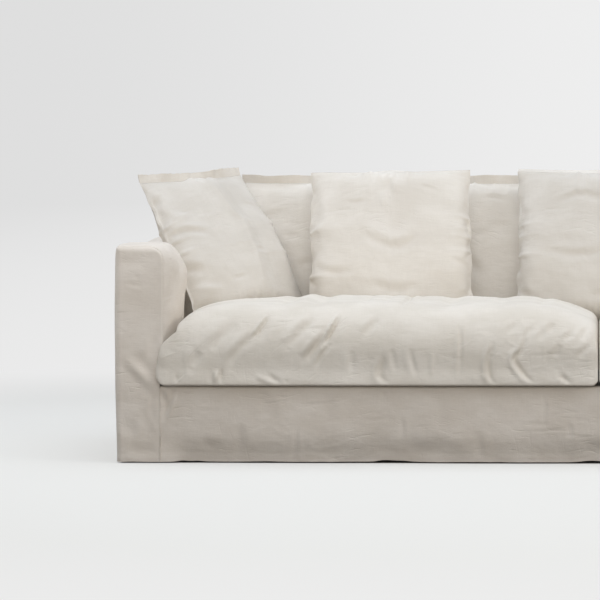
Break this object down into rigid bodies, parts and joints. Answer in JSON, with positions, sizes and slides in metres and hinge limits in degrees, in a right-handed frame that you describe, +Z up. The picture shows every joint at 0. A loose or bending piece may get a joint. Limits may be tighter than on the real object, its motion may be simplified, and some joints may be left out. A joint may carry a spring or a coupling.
{
  "type": "sofa slipcover",
  "caption": "Loose linen slipcover set for a low deep sofa: fitted cover with skirt to the floor, soft seat cushions and flanged loose back pillows.",
  "frame": {"origin": "on the floor, under the middle of the whole set's box", "axes": "+X to the right as seen from the front, -Y to the front, +Z up"},
  "size_m": [2.6472, 1.031, 0.8065],
  "materials": {
    "cover_linen": "washed natural linen, matt, plain weave with slubs",
    "cushion_linen": "washed natural linen, matt, plain weave with slubs, soft creases",
    "pillow_linen": "washed natural linen, matt, plain weave with slubs, soft creases"
  },
  "bodies": {
    "root": {"front_apron": "cover_linen", "deck": "cover_linen", "inside_back": "cover_linen", "outside_back": "cover_linen", "arm_front_left": "cover_linen", "arm_front_right": "cover_linen", "arm_inside_left": "cover_linen", "arm_inside_right": "cover_linen", "arm_outside_left": "cover_linen", "arm_outside_right": "cover_linen", "seat_cushion_left": "cushion_linen", "seat_cushion_right": "cushion_linen", "pillow_rear_1": "pillow_linen", "flange_rear_1": "pillow_linen", "pillow_rear_2": "pillow_linen", "flange_rear_2": "pillow_linen", "pillow_rear_3": "pillow_linen", "flange_rear_3": "pillow_linen", "pillow_rear_4": "pillow_linen", "flange_rear_4": "pillow_linen", "pillow_front_1": "pillow_linen", "flange_front_1": "pillow_linen", "pillow_front_2": "pillow_linen", "flange_front_2": "pillow_linen", "pillow_front_3": "pillow_linen", "flange_front_3": "pillow_linen", "pillow_front_4": "pillow_linen", "flange_front_4": "pillow_linen", "pillow_front_5": "pillow_linen", "flange_front_5": "pillow_linen"}
  },
  "joints": []
}
